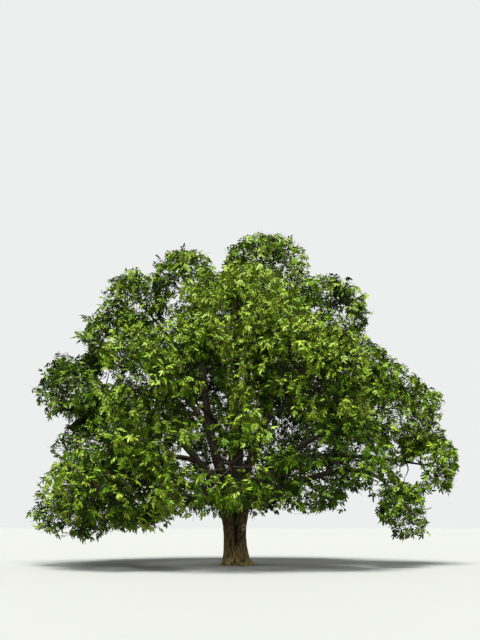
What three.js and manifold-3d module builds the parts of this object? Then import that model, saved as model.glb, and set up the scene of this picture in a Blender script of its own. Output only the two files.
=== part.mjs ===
// A broad, open-grown walnut tree in full summer leaf, standing on level ground.
// Millimetres, +Z up. The origin is the middle of the flat cut under the trunk, +X is the right-hand side of
// the front view and -Y faces the viewer. Azimuths are degrees from +X towards +Y, so 270 is the front.

import * as THREE from 'three';
import { mergeVertices } from 'three/addons/utils/BufferGeometryUtils.js';
import Module from 'manifold-3d';

const wasm = await Module();
wasm.setup();
const { Manifold, Mesh: SolidMesh } = wasm;

const UP = new THREE.Vector3(0, 0, 1);
const NEAR_UPRIGHT = 0.95; // an axis that rises more than this takes its side from another direction
const GAP = 0.3; // clearance where one limb sits on another, or a stem on its bough
const WELD = 1e-3; // vertices closer than this are one

// The trunk: root flare, waist, and the swelling under the fork, as rings of [height, radius].
const TRUNK = {
  sides: 20,
  rings: [
    [0, 625], [110, 560], [320, 497], [700, 452], [1150, 437], [1500, 462],
    [1800, 522], [2150, 584], [2550, 606], [2900, 560], [3150, 430], [3280, 270],
  ],
  lean: { x: -118, y: 40, within: 650 }, // how far the head stands from over the foot, and how soon
  roots: { count: 5, swell: 0.15, fadeHeight: 380, turn: 20 },
  // the seam of two grown-together stems, and the collar of a lost branch
  cleft: { azimuth: 276, halfWidth: 12, depth: 0.2, from: 600, to: 2950 },
  knot: { azimuth: 318, rise: 12, height: 1420, out: 436, radius: 88, neck: 60, stand: 70 },
};
const TRUNK_HEIGHT = TRUNK.rings.at(-1)[0];

// The masses of foliage, a row each: name, azimuth, reach, depth, span, bottom, top, slope, tint.
// reach is from the trunk's axis to a mass's outer edge, depth is its size in and out, span its size across,
// and bottom and top are heights. slope is the rise in degrees of the bough that enters it, and tint its green.
const MASSES = [
  // the two ends of the crown, as the front view shows them
  ['right_far', 2, 8950, 2900, 4600, 2250, 5400, -8, 'fresh'],
  ['right_droop', 347, 7800, 2500, 3600, 700, 3500, -50, 'deep'],
  ['right_upper', 1, 8450, 4900, 5200, 4450, 7600, 20, 'fresh'],
  ['right_shoulder', 3, 6600, 4200, 5000, 6500, 9250, 32, 'mid'],
  ['right_top', 3, 5750, 3900, 4800, 8500, 11600, 46, 'mid'],
  ['left_bottom', 183, 8500, 5000, 5400, 650, 3900, -8, 'olive'],
  ['left_low', 180, 7850, 4800, 5200, 3300, 6200, 14, 'mid'],
  ['left_far', 179, 8550, 4850, 5000, 5350, 8550, 20, 'deep'],
  ['left_shoulder', 178, 6900, 4100, 4800, 7300, 10350, 36, 'deep'],
  ['left_top', 176, 5700, 3300, 4400, 8900, 12050, 50, 'mid'],
  // the two heads over the leaders
  ['head_left', 180, 3800, 3500, 4800, 9400, 12850, 76, 'mid'],
  ['head_right', 0, 3400, 4600, 5000, 9800, 13650, 80, 'light'],
  // the skirt, which hangs round the front and the back
  ['skirt_front_left', 223, 8250, 5000, 6200, 700, 5000, -4, 'olive'],
  ['skirt_front', 268, 7800, 4600, 5900, 1350, 5300, 2, 'light'],
  ['skirt_front_right', 306, 7850, 4700, 5500, 1650, 5500, 2, 'fresh'],
  ['skirt_back_left', 137, 8150, 4900, 6200, 1000, 5000, -2, 'deep'],
  ['skirt_back', 92, 7800, 4600, 5900, 1400, 5300, 2, 'mid'],
  ['skirt_back_right', 54, 7900, 4700, 5500, 1700, 5400, 0, 'deep'],
  // the waist of the crown, front and back
  ['mid_front_left', 238, 7150, 5200, 6700, 4200, 9000, 22, 'mid'],
  ['mid_front_right', 303, 7150, 5200, 6700, 4300, 9100, 22, 'light'],
  ['mid_back_left', 122, 7150, 5200, 6700, 4200, 9000, 22, 'deep'],
  ['mid_back_right', 57, 7150, 5200, 6700, 4300, 9100, 22, 'mid'],
  ['upper_front', 270, 5400, 4900, 6200, 7300, 11350, 44, 'light'],
  ['upper_back', 90, 5300, 4800, 6200, 7500, 12000, 44, 'mid'],
  // the shoots that spring from the trunk under the fork
  ['trunk_shoots', 276, 2350, 1900, 3200, 1550, 3500, 35, 'light'],
].map(([name, azimuth, reach, depth, span, bottom, top, slope, tint]) => (
  { name, azimuth, reach, depth, span, bottom, top, slope, tint }
));

// The boughs, each ending where it enters the mass it is named for. A bough leaves the trunk's axis at height
// from, with its heading and rise, or its parent bough at the share at of that one's length. girth is its
// radius at the root.
const BOUGHS = [
  { mass: 'head_right', from: 2650, heading: 50, rise: 82, girth: 235 },
  { mass: 'head_left', from: 2600, heading: 172, rise: 56, girth: 225 },
  { mass: 'upper_back', from: 2600, heading: 97, rise: 62, girth: 200 },
  { mass: 'upper_front', from: 2650, heading: 255, rise: 64, girth: 190 },
  { mass: 'right_top', from: 2600, heading: 14, rise: 60, girth: 205 },
  { mass: 'right_upper', from: 2350, heading: 338, rise: 47, girth: 185 },
  { mass: 'left_far', from: 2300, heading: 200, rise: 44, girth: 180 },
  { mass: 'right_droop', from: 2150, heading: 352, rise: 20, girth: 160 },
  { mass: 'left_bottom', from: 2100, heading: 184, rise: 22, girth: 165 },
  { mass: 'skirt_front_left', from: 2150, heading: 226, rise: 26, girth: 165 },
  { mass: 'skirt_front', from: 2350, heading: 272, rise: 34, girth: 150 },
  { mass: 'skirt_front_right', from: 2200, heading: 312, rise: 28, girth: 160 },
  { mass: 'skirt_back_left', from: 2150, heading: 138, rise: 26, girth: 160 },
  { mass: 'skirt_back', from: 2250, heading: 92, rise: 30, girth: 150 },
  { mass: 'skirt_back_right', from: 2200, heading: 44, rise: 28, girth: 160 },
  { mass: 'left_top', parent: 'head_left', at: 0.56, girth: 105 },
  { mass: 'left_shoulder', parent: 'head_left', at: 0.36, girth: 115 },
  { mass: 'left_low', parent: 'left_far', at: 0.36, girth: 105 },
  { mass: 'right_shoulder', parent: 'right_top', at: 0.42, girth: 110 },
  { mass: 'right_far', parent: 'right_upper', at: 0.42, girth: 110 },
  { mass: 'mid_front_left', parent: 'upper_front', at: 0.3, girth: 110 },
  { mass: 'mid_front_right', parent: 'upper_front', at: 0.42, girth: 105 },
  { mass: 'mid_back_left', parent: 'upper_back', at: 0.3, girth: 110 },
  { mass: 'mid_back_right', parent: 'upper_back', at: 0.42, girth: 105 },
];
const BOUGH = {
  sides: 6, steps: 6, tipRadius: 58,
  lead: 0.36, // share of its length over which a bough keeps the heading it starts with
  follow: 0.3, // and over which it already points as it will at its end
  taper: 0.85, // the power of its narrowing: under 1 keeps it thick for longer
  collar: 0.35, collarReach: 0.12, // the swelling where it leaves its parent, and how far along it fades
  parentPull: 0.75, // how much of its parent's direction a side bough starts with
};

// How the foliage of one mass grows from its stem.
const FOLIAGE = {
  entry: 0.86, // where the bough enters, as a share of the way from the mass's middle to its edge
  stemEnd: 0.5, // how far past the middle the stem runs, as a share of the mass's mean radius
  stem: { sides: 3, steps: 2, root: 50, tip: 16 },
  twig: { sides: 3, steps: 1, root: 24, tip: 9 },
  twigsFrom: [0.2, 0.92], // the stretch of the stem that twigs spring from, as shares of its length
  tufts: 9, // tufts of blades aimed evenly over a mass, give or take
  aimWander: 0.35,
  facingBack: 0.8, // no tuft is aimed back along the bough
  // a tuft's middle as a share of the way to the edge, and its size: it is turned or moved in until it fits
  tuftTries: [[0.8, 1], [0.8, 1], [0.76, 0.9], [0.72, 0.85], [0.66, 0.75], [0.58, 0.65], [0.5, 0.55]],
  tuftLean: { up: 0.3, wander: 0.5 }, // a tuft faces out from the mass, tipped up and about a little
  blades: 3,
  bladeShare: 0.67, // a blade's length as a share of its mass's mean radius: each blade stands for a spray
  bladeMost: 1650,
  bladeSpread: [0.88, 1.1], // how much a tuft's size varies
  shrink: [1, 0.85, 0.7, 0.55, 0.4, 0.28], // a blade that would leave the mass's space is tried shorter
  thickness: 0.04, // of a tuft's middle, as a share of a blade's length
  offCentre: 0.07, // the twig enters a blade beside the tuft's middle
  droop: 0.38, // how far a blade's tip hangs below its root, as a share of its length
  tidy: 4, // how far fusing may smooth away slivers
  cellMargin: 26, // air kept between a mass and the plane it shares with the next
  limbAir: 14, // air kept from the limbs
};
const SEED = { first: 101, step: 37 };
// A blade's outline as [turn from its axis in degrees, share of its length] about the tuft's middle.
const BLADE_OUTLINE = [[-60, 0.3], [-30, 0.72], [0, 1], [30, 0.72]];

const BARK = { color: 0x5a4c3d, roughness: 0.95 };
const LEAF_ROUGHNESS = 0.7;
const GREENS = { light: 0x7f9f2a, fresh: 0x5f8f1e, mid: 0x4c7a1c, olive: 0x6f7f22, deep: 0x35601a };

const radians = THREE.MathUtils.degToRad;
const mix = THREE.MathUtils.lerp;

function heading(azimuth, rise = 0) {
  const flat = Math.cos(radians(rise));
  const turn = radians(azimuth);
  return new THREE.Vector3(flat * Math.cos(turn), flat * Math.sin(turn), Math.sin(radians(rise)));
}

// Draws in 0..1 from a seed: the same tree every time.
function seeded(seed) {
  let state = seed >>> 0;
  return () => {
    state = (Math.imul(state, 1664525) + 1013904223) >>> 0;
    return state / 4294967296;
  };
}

function moveVertices(geometry, place) {
  const position = geometry.getAttribute('position');
  const vertex = new THREE.Vector3();
  for (let i = 0; i < position.count; i++) {
    vertex.fromBufferAttribute(position, i);
    const { x, y, z } = place(vertex);
    position.setXYZ(i, x, y, z);
  }
  return geometry;
}

function toSolid(geometry) {
  const bare = geometry.clone();
  bare.deleteAttribute('normal');
  bare.deleteAttribute('uv');
  const merged = mergeVertices(bare, WELD);
  return new Manifold(new SolidMesh({
    numProp: 3,
    vertProperties: merged.getAttribute('position').array,
    triVerts: new Uint32Array(merged.index.array),
  }));
}

function toGeometry(solid) {
  const { vertProperties, triVerts } = solid.getMesh();
  const geometry = new THREE.BufferGeometry();
  geometry.setAttribute('position', new THREE.BufferAttribute(vertProperties, 3));
  geometry.setIndex(new THREE.BufferAttribute(triVerts, 1));
  geometry.computeVertexNormals();
  return geometry;
}

// The outer shell of a solid's largest piece: loose scraps are dropped, and a hollow that fusing sealed is
// filled.
function mainPiece(solid) {
  return solid.decompose().reduce((a, b) => (b.volume() > a.volume() ? b : a));
}

// A closed tube of changing radius along a curve. radiusAt takes the share of the length.
function tube(curve, radiusAt, sides, steps) {
  const { normals, binormals } = curve.computeFrenetFrames(steps);
  return moveVertices(new THREE.CylinderGeometry(1, 1, 1, sides, steps), (v) => {
    const step = Math.round((v.y + 0.5) * steps);
    const radius = radiusAt(step / steps);
    return curve.getPointAt(step / steps)
      .addScaledVector(normals[step], v.x * radius)
      .addScaledVector(binormals[step], -v.z * radius);
  });
}

function trunkAxis(height) {
  const { x, y, within } = TRUNK.lean;
  const share = 1 - Math.exp(-height / within);
  return new THREE.Vector3(x * share, y * share, height);
}

// How much further out than its ring the trunk stands at an azimuth, as a factor.
function trunkShape(azimuth, height) {
  const { roots, cleft } = TRUNK;
  const root = Math.cos(radians((azimuth - roots.turn) * roots.count));
  const across = ((azimuth - cleft.azimuth + 540) % 360) - 180;
  const inCleft = height > cleft.from && height < cleft.to;
  const sunk = inCleft ? cleft.depth * Math.exp(-((across / cleft.halfWidth) ** 2)) : 0;
  return 1 + roots.swell * root * Math.exp(-height / roots.fadeHeight) - sunk;
}

function trunkSolid(swell = 0) {
  const { rings, sides, knot } = TRUNK;
  const shell = moveVertices(new THREE.CylinderGeometry(1, 1, 1, sides, rings.length - 1), (v) => {
    const [height, radius] = rings[Math.round((v.y + 0.5) * (rings.length - 1))];
    const azimuth = (THREE.MathUtils.radToDeg(Math.atan2(-v.z, v.x)) + 360) % 360;
    const out = radius * trunkShape(azimuth, height) + swell;
    return trunkAxis(height).add(new THREE.Vector3(v.x * out, -v.z * out, 0));
  });
  const outwards = heading(knot.azimuth, knot.rise);
  const out = knot.out * trunkShape(knot.azimuth, knot.height);
  const seat = trunkAxis(knot.height).addScaledVector(outwards, out);
  const collar = new THREE.CylinderGeometry(knot.neck, knot.radius, 2 * knot.stand, 8)
    .applyQuaternion(new THREE.Quaternion().setFromUnitVectors(new THREE.Vector3(0, 1, 0), outwards))
    .translate(seat.x, seat.y, seat.z);
  return toSolid(shell).add(toSolid(collar));
}

// A mass's middle, half sizes and own axes: out from the trunk, across, and up.
function massSpace({ azimuth, reach, depth, span, bottom, top, ...rest }) {
  const out = heading(azimuth);
  const half = new THREE.Vector3(depth / 2, span / 2, (top - bottom) / 2);
  return {
    ...rest, half, out,
    across: new THREE.Vector3().crossVectors(UP, out),
    centre: out.clone().multiplyScalar(reach - depth / 2).setZ((top + bottom) / 2),
    radius: (half.x + half.y + half.z) / 3,
  };
}

// From the mass's middle to its edge, along a direction given in the mass's own axes.
function toEdge(space, direction) {
  const reach = 1 / direction.clone().divide(space.half).length();
  return new THREE.Vector3()
    .addScaledVector(space.out, direction.x * reach)
    .addScaledVector(space.across, direction.y * reach)
    .addScaledVector(UP, direction.z * reach);
}

function insideEdge(space, point) {
  const offset = point.clone().sub(space.centre);
  const local = new THREE.Vector3(offset.dot(space.out), offset.dot(space.across), offset.z);
  return local.divide(space.half).length() <= 1;
}

// Each mass keeps to its side of the plane between it and each other one, which is nearer the smaller of them.
function insideCell(space, point) {
  const power = ({ centre, radius }) => point.distanceToSquared(centre) - radius ** 2;
  return SPACES.every((other) => {
    if (other === space) return true;
    const fromPlane = (power(other) - power(space)) / (2 * other.centre.distanceTo(space.centre));
    return fromPlane > FOLIAGE.cellMargin;
  });
}

const SPACES = MASSES.map(massSpace);
const spaceOf = (name) => SPACES.find((space) => space.name === name);

// Where the bough of a mass ends and its stem begins, and which way both point there.
// A mass that has no bough grows from the trunk's axis.
function entryOf(space) {
  const rise = radians(space.slope);
  const along = new THREE.Vector3(Math.cos(rise), 0, Math.sin(rise));
  const direction = space.out.clone().multiplyScalar(along.x).addScaledVector(UP, along.z);
  const hasBough = BOUGHS.some((bough) => bough.mass === space.name);
  const axisHeight = space.centre.z - Math.tan(rise) * Math.hypot(space.centre.x, space.centre.y);
  return {
    hasBough,
    direction,
    point: hasBough
      ? space.centre.clone().addScaledVector(toEdge(space, along), -FOLIAGE.entry)
      : trunkAxis(axisHeight),
  };
}

function boughCurve(bough, curves) {
  const entry = entryOf(spaceOf(bough.mass));
  const parent = curves.get(bough.parent);
  const start = parent ? parent.getPointAt(bough.at) : trunkAxis(bough.from);
  const away = entry.point.clone().sub(start);
  const lead = parent
    ? parent.getTangentAt(bough.at).multiplyScalar(BOUGH.parentPull).add(away.clone().normalize()).normalize()
    : heading(bough.heading, bough.rise);
  return new THREE.CubicBezierCurve3(
    start,
    start.clone().addScaledVector(lead, away.length() * BOUGH.lead),
    entry.point.clone().addScaledVector(entry.direction, -away.length() * BOUGH.follow),
    entry.point,
  );
}

function boughRadius(bough, share) {
  const collar = 1 + BOUGH.collar * Math.max(0, 1 - share / BOUGH.collarReach);
  return mix(BOUGH.tipRadius, bough.girth, (1 - share) ** BOUGH.taper) * collar;
}

function boughSolid(bough, curve, swell = 0) {
  return toSolid(tube(curve, (share) => boughRadius(bough, share) + swell, BOUGH.sides, BOUGH.steps));
}

// Evenly spread directions, as the seeds of a sunflower lie.
function evenDirections(count) {
  const golden = Math.PI * (3 - Math.sqrt(5));
  return Array.from({ length: count }, (_, i) => {
    const z = 1 - (2 * i + 1) / count;
    const flat = Math.sqrt(1 - z * z);
    return new THREE.Vector3(flat * Math.cos(golden * i), flat * Math.sin(golden * i), z);
  });
}

// A point of a tuft's rim: so far out from its middle, so far round its axis, hanging like an umbrella's edge.
function rimPoint(tuft, angle, out, share) {
  return tuft.middle.clone()
    .addScaledVector(tuft.side, out * Math.cos(angle))
    .addScaledVector(tuft.other, out * Math.sin(angle))
    .addScaledVector(UP, -FOLIAGE.droop * share * out);
}

// The longest a blade can be in its mass's space, or nothing.
function bladeLength(space, tuft, blade) {
  const angle = tuft.turn + (2 * Math.PI * blade) / FOLIAGE.blades;
  const fits = (length) => BLADE_OUTLINE.every(([turn, share]) => {
    const point = rimPoint(tuft, angle + radians(turn), share * length, share);
    return insideEdge(space, point) && insideCell(space, point);
  });
  return FOLIAGE.shrink.map((scale) => scale * tuft.full).find(fits);
}

// A tuft of blades as one lens: its rim is the blades' outline, and its two ends are its thick middle.
function tuftSolid(tuft, lengths) {
  const rim = lengths.flatMap((length, blade) => BLADE_OUTLINE.map(([turn, share], i) => {
    const out = share * (i === 0 ? (length + lengths.at(blade - 1)) / 2 : length);
    return rimPoint(tuft, tuft.turn + (2 * Math.PI * blade) / lengths.length + radians(turn), out, share);
  }));
  const ends = [tuft.middle.clone().add(tuft.thick), tuft.middle.clone().sub(tuft.thick)];
  const index = rim.flatMap((_, i) => {
    const next = (i + 1) % rim.length;
    return [rim.length, i, next, rim.length + 1, next, i];
  });
  return toSolid(new THREE.BufferGeometry().setFromPoints([...rim, ...ends]).setIndex(index));
}

// A tuft out towards one side of its mass that keeps to the mass's space and clear of limbs and other tufts.
function growTuft(space, outwards, axis, random, taken) {
  const usual = Math.min(FOLIAGE.bladeMost, FOLIAGE.bladeShare * space.radius);
  const most = usual * mix(...FOLIAGE.bladeSpread, random());
  const unlike = Math.abs(axis.z) < NEAR_UPRIGHT ? UP : space.out;
  const side = new THREE.Vector3().crossVectors(axis, unlike).normalize();
  const other = new THREE.Vector3().crossVectors(axis, side);
  for (const [at, size] of FOLIAGE.tuftTries) {
    const full = size * most;
    const thick = axis.clone().multiplyScalar(FOLIAGE.thickness * full);
    const tip = space.centre.clone().addScaledVector(outwards, at);
    const middle = tip.clone().addScaledVector(side, FOLIAGE.offCentre * full);
    const tuft = { middle, thick, side, other, full, turn: random() * 2 * Math.PI };
    const lengths = Array.from({ length: FOLIAGE.blades }, (_, blade) => bladeLength(space, tuft, blade));
    const inner = [tip, middle.clone().add(thick), middle.clone().sub(thick)];
    if (lengths.some((length) => !length)) continue;
    if (!inner.every((point) => insideCell(space, point))) continue;
    const solid = tuftSolid(tuft, lengths);
    if (taken.every((thing) => solid.intersect(thing).isEmpty())) return { solid, tip };
  }
  return null;
}

// The stem that all twigs of a mass spring from: from its bough's tip, through the mass's middle, to past it.
function stemOf(space) {
  const { point, direction, hasBough } = entryOf(space);
  const start = point.clone().addScaledVector(direction, hasBough ? GAP : 0);
  const end = space.centre.clone().addScaledVector(direction, space.radius * FOLIAGE.stemEnd);
  const curve = new THREE.QuadraticBezierCurve3(start, space.centre.clone(), end);
  const { root, tip, sides, steps } = FOLIAGE.stem;
  const swollen = (by) => toSolid(tube(curve, (share) => mix(root, tip, share) + by, sides, steps));
  return { curve, direction, hasBough, solid: swollen(0), air: swollen(FOLIAGE.limbAir) };
}

// One mass: its stem, and a twig from the stem to each tuft of blades.
function growMass(space, stem, obstacles, trunkCutter, seed) {
  const random = seeded(seed);
  const drift = () => random() - 0.5;
  const wander = (size) => new THREE.Vector3(drift(), drift(), drift()).multiplyScalar(size);
  const { root, tip, sides, steps } = FOLIAGE.twig;
  const parts = [stem.solid];
  const taken = [obstacles];
  const turn = random() * Math.PI;
  for (const even of evenDirections(FOLIAGE.tufts)) {
    const aim = even.applyAxisAngle(UP, turn).add(wander(FOLIAGE.aimWander)).normalize();
    const outwards = toEdge(space, aim);
    const facing = outwards.clone().normalize();
    const forward = facing.dot(stem.direction);
    if (forward < -FOLIAGE.facingBack) continue;
    facing.addScaledVector(UP, FOLIAGE.tuftLean.up).add(wander(FOLIAGE.tuftLean.wander)).normalize();
    const tuft = growTuft(space, outwards, facing, random, taken);
    if (!tuft) continue;
    const base = stem.curve.getPointAt(mix(...FOLIAGE.twigsFrom, (forward + 1) / 2));
    const twigCurve = new THREE.LineCurve3(base, tuft.tip);
    const twig = toSolid(tube(twigCurve, (share) => mix(root, tip, share), sides, steps));
    if (!insideCell(space, base) || !twig.intersect(obstacles).isEmpty()) continue;
    taken.push(tuft.solid);
    parts.push(twig, tuft.solid);
  }
  const grown = Manifold.union(parts);
  return mainPiece(stem.hasBough ? grown : grown.subtract(trunkCutter)).simplify(FOLIAGE.tidy);
}

function addNode(group, name, solid, look) {
  const material = new THREE.MeshStandardMaterial({ flatShading: true, metalness: 0, ...look });
  const mesh = new THREE.Mesh(toGeometry(solid), material);
  mesh.name = name;
  group.add(mesh);
}

const tree = new THREE.Group();

// The limbs, each cut clear of the trunk and of the boughs that were made before it.
const trunk = { name: 'trunk', solid: trunkSolid(), cutter: trunkSolid(GAP), air: trunkSolid(FOLIAGE.limbAir) };
const limbs = [trunk];
const curves = new Map();
for (const bough of BOUGHS) {
  const curve = boughCurve(bough, curves);
  curves.set(bough.mass, curve);
  const cutters = Manifold.union(limbs.map((limb) => limb.cutter));
  limbs.push({
    name: `bough_${bough.mass}`,
    solid: mainPiece(boughSolid(bough, curve).subtract(cutters)),
    cutter: boughSolid(bough, curve, GAP),
    air: boughSolid(bough, curve, FOLIAGE.limbAir),
  });
}
for (const limb of limbs) addNode(tree, limb.name, limb.solid, BARK);

const limbAir = Manifold.union(limbs.map((limb) => limb.air));
const stems = SPACES.map(stemOf);
SPACES.forEach((space, i) => {
  const otherStems = stems.filter((stem) => stem !== stems[i]).map((stem) => stem.air);
  const obstacles = Manifold.union([limbAir, ...otherStems]);
  const solid = growMass(space, stems[i], obstacles, trunk.cutter, SEED.first + SEED.step * i);
  addNode(tree, `foliage_${space.name}`, solid, { color: GREENS[space.tint], roughness: LEAF_ROUGHNESS });
});

export default tree;
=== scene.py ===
"""A broad, open-grown walnut tree in full summer leaf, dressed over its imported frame.

Metres, +Z up. The origin is the middle of the flat cut under the trunk, +X is the right-hand side of the
front view and -Y faces the viewer. Azimuths are degrees from +X towards +Y, so 270 is the front. The tables
of the trunk, the boughs and the masses of foliage are in millimetres, and MM turns them to metres.
"""

import math

import bmesh
import bpy
import numpy as np
from mathutils import Matrix, Vector, noise


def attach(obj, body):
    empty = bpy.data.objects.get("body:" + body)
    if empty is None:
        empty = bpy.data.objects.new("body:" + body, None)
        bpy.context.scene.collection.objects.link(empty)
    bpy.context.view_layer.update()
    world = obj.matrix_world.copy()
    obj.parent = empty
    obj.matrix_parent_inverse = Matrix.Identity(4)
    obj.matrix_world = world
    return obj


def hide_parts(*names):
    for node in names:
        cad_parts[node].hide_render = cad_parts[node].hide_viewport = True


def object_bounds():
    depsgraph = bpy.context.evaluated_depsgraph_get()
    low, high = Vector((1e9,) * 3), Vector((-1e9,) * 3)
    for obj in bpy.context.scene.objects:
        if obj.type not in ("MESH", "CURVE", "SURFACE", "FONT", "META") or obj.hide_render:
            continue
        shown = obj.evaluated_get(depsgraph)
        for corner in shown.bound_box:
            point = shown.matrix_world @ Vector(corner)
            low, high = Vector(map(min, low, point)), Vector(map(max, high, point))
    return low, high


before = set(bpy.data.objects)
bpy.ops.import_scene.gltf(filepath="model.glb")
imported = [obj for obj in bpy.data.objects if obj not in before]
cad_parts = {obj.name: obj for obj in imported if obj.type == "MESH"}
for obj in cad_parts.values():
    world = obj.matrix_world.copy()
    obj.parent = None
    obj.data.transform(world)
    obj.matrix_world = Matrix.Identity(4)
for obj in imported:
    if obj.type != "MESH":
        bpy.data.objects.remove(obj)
CAD_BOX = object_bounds()

MM = 0.001
UP = np.array([0.0, 0.0, 1.0])
GOLDEN = math.pi * (3 - math.sqrt(5))
ROUND = 6.28  # radians, just short of a full turn

# The trunk: root flare, waist, and the swelling under the fork, as rings of [height, radius]. The cleft fades
# out at its two ends. The knot has a callus ring with a lip round a hollow, a healed skin that is pale,
# partly as a painted highlight on the lip, smooth bark about it, and a pit painted dark as painted shade in
# the hollow.
TRUNK = {
    "rings": [
        [0, 625], [110, 560], [320, 497], [700, 452], [1150, 437], [1500, 462],
        [1800, 522], [2150, 584], [2550, 606], [2900, 560], [3150, 430], [3280, 270],
    ],
    "lean": {"x": -118, "y": 40, "within": 650},
    "roots": {"count": 5, "swell": 0.15, "fade_height": 380, "turn": 20},
    "cleft": {"azimuth": 276, "half_width": 12, "depth": 0.2, "from": 600, "to": 2950, "ends": [250, 100]},
    "knot": {
        "azimuth": 318, "height": 1420, "trunk_radius": 450, "ring": 74, "lip": 30, "stand": 46,
        "hollow": 50, "healed": 1.3, "smooth_reach": 130, "smoothness": 0.8, "painted_shade_pit": 42,
    },
}

# The masses of foliage, a row each: name, azimuth, reach, depth, span, bottom, top, slope, tint.
# The tints are lighter on the front and deeper on the back, partly as painted light and shade.
MASSES = [
    # the two ends of the crown, as the front view shows them
    ["right_far", 2, 8950, 2900, 4600, 2250, 5400, -8, "fresh"],
    ["right_droop", 347, 7800, 2500, 3600, 700, 3500, -50, "deep"],
    ["right_upper", 1, 8450, 4900, 5200, 4450, 7600, 20, "fresh"],
    ["right_shoulder", 3, 6600, 4200, 5000, 6500, 9250, 32, "mid"],
    ["right_top", 3, 5750, 3900, 4800, 8500, 11600, 46, "mid"],
    ["left_bottom", 183, 8500, 5000, 5400, 650, 3900, -8, "olive"],
    ["left_low", 180, 7850, 4800, 5200, 3300, 6200, 14, "mid"],
    ["left_far", 179, 8550, 4850, 5000, 5350, 8550, 20, "deep"],
    ["left_shoulder", 178, 6900, 4100, 4800, 7300, 10350, 36, "deep"],
    ["left_top", 176, 5700, 3300, 4400, 8900, 12050, 50, "mid"],
    # the two heads over the leaders
    ["head_left", 180, 3800, 3500, 4800, 9400, 12850, 76, "mid"],
    ["head_right", 0, 3400, 4600, 5000, 9800, 13650, 80, "light"],
    # the skirt, which hangs round the front and the back
    ["skirt_front_left", 223, 8250, 5000, 6200, 700, 5000, -4, "olive"],
    ["skirt_front", 268, 7800, 4600, 5900, 1350, 5300, 2, "light"],
    ["skirt_front_right", 306, 7850, 4700, 5500, 1650, 5500, 2, "fresh"],
    ["skirt_back_left", 137, 8150, 4900, 6200, 1000, 5000, -2, "deep"],
    ["skirt_back", 92, 7800, 4600, 5900, 1400, 5300, 2, "mid"],
    ["skirt_back_right", 54, 7900, 4700, 5500, 1700, 5400, 0, "deep"],
    # the waist of the crown, front and back
    ["mid_front_left", 238, 7150, 5200, 6700, 4200, 9000, 22, "mid"],
    ["mid_front_right", 303, 7150, 5200, 6700, 4300, 9100, 22, "light"],
    ["mid_back_left", 122, 7150, 5200, 6700, 4200, 9000, 22, "deep"],
    ["mid_back_right", 57, 7150, 5200, 6700, 4300, 9100, 22, "mid"],
    ["upper_front", 270, 5400, 4900, 6200, 7300, 11350, 44, "light"],
    ["upper_back", 90, 5300, 4800, 6200, 7500, 12000, 44, "mid"],
    # the shoots that spring from the trunk under the fork
    ["trunk_shoots", 276, 2350, 1900, 3200, 1550, 3500, 35, "light"],
]

# The boughs: the mass that each one ends in, the height where it leaves the trunk's axis, its azimuth and
# rise there, and its radius at the root.
BOUGHS = [
    ["head_right", 2650, 50, 82, 235],
    ["head_left", 2600, 172, 56, 225],
    ["upper_back", 2600, 97, 62, 200],
    ["upper_front", 2650, 255, 64, 190],
    ["right_top", 2600, 14, 60, 205],
    ["right_upper", 2350, 338, 47, 185],
    ["left_far", 2300, 200, 44, 180],
    ["right_droop", 2150, 352, 20, 160],
    ["left_bottom", 2100, 184, 22, 165],
    ["skirt_front_left", 2150, 226, 26, 165],
    ["skirt_front", 2350, 272, 34, 150],
    ["skirt_front_right", 2200, 312, 28, 160],
    ["skirt_back_left", 2150, 138, 26, 160],
    ["skirt_back", 2250, 92, 30, 150],
    ["skirt_back_right", 2200, 44, 28, 160],
]
# The boughs that leave another bough, at a share of its length, with their radius at the root.
SIDE_BOUGHS = [
    ["left_top", "head_left", 0.56, 105],
    ["left_shoulder", "head_left", 0.36, 115],
    ["left_low", "left_far", 0.36, 105],
    ["right_shoulder", "right_top", 0.42, 110],
    ["right_far", "right_upper", 0.42, 110],
    ["mid_front_left", "upper_front", 0.3, 110],
    ["mid_front_right", "upper_front", 0.42, 105],
    ["mid_back_left", "upper_back", 0.3, 110],
    ["mid_back_right", "upper_back", 0.42, 105],
]
BOUGH = {
    "tip_radius": 58, "lead": 0.36, "follow": 0.3, "taper": 0.85,
    "collar": 0.35, "collar_reach": 0.12, "parent_pull": 0.75,
}
LINE_STEPS = 41  # places along a bough's line
FINE_STEPS = 200  # and along a curve while it is divided evenly

# How a mass grows, from its stem out. Each kind of stick is a tube with sides, steps, and a radius at its
# root and its tip. A branch or a branchlet follows the stick that it leaves, lifts a little, keeps to that
# lead and then to its last heading for these shares of its length, and sways by so many metres.
ENTRY = 0.86  # where the bough enters, as a share of the way from the mass's middle to its edge
STEM_END = 0.5  # how far past the middle the stem runs, as a share of the mass's mean radius
STEM = {"sides": 8, "steps": 10, "root": 0.05, "tip": 0.02}
BRANCH = {
    "sides": 5, "steps": 8, "root": 0.032, "tip": 0.011,
    "follow": 0.6, "lift": 0.15, "lead": 0.4, "arrive": 0.3, "sway": 0.035,
    "count": 9, "scatter": 0.35, "backmost": -0.8,  # the lowest cosine between its heading and the stem's
    "from": 0.12, "stretch": 0.78,  # of the stem, where the backmost one leaves, and the rest further on
    "at": [0.7, 0.55, 0.4], "room": 0.2,  # the shares of the way out where it may end, and the room there
}
BRANCHLET = {
    "sides": 3, "steps": 5, "root": 0.012, "tip": 0.0055,
    "follow": 0.8, "lift": 0.2, "lead": 0.35, "arrive": 0.3, "turn_up": 0.3, "sway": 0.018,
    "scatter": 0.5, "outer": [0.74, 0.92], "inner": [0.42, 0.62],  # how far out they end
    "moved": [1.3, 1.2, 1.1, 1, 0.8, 0.6],  # further out or in, tried in turn until one fits
    "room": 0.1, "beyond": 0.6, "shaded": 0.95,  # in the shade if another mass holds the place beyond it
    "forward": 0.25, "backward_cost": 2,  # how far its end lies ahead of its root, and what less counts
}
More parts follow.
